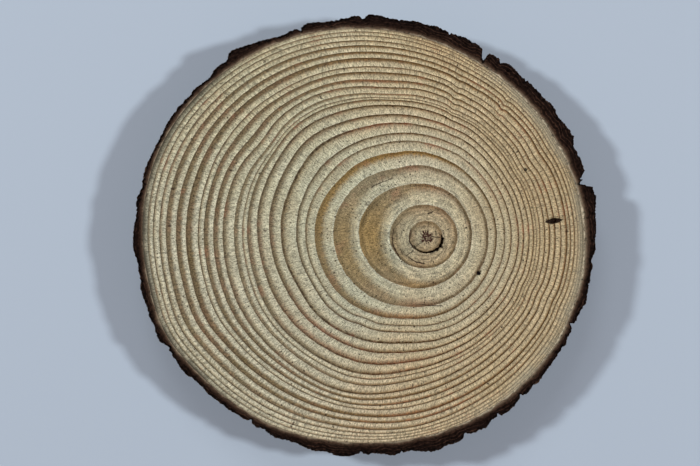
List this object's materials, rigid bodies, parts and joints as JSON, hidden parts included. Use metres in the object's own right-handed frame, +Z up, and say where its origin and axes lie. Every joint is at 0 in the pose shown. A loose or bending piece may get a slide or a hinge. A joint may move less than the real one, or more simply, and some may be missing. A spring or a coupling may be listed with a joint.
{
  "type": "wood slice",
  "caption": "Thin round slice sawn across a small pine trunk: pale wood with growth rings round an off-centre pith, inside a thin ring of dark, flaky bark.",
  "frame": {"origin": "middle of the underside's bounding rectangle", "axes": "+Z up through the slice's thickness, +X across it from its middle towards the pith and the narrow growth rings"},
  "size_m": [0.1002, 0.0956, 0.01],
  "materials": {
    "wood": "dry sawn end grain",
    "bark": "rough dark bark"
  },
  "bodies": {
    "root": {"wood": "wood", "bark": "bark"}
  },
  "joints": []
}
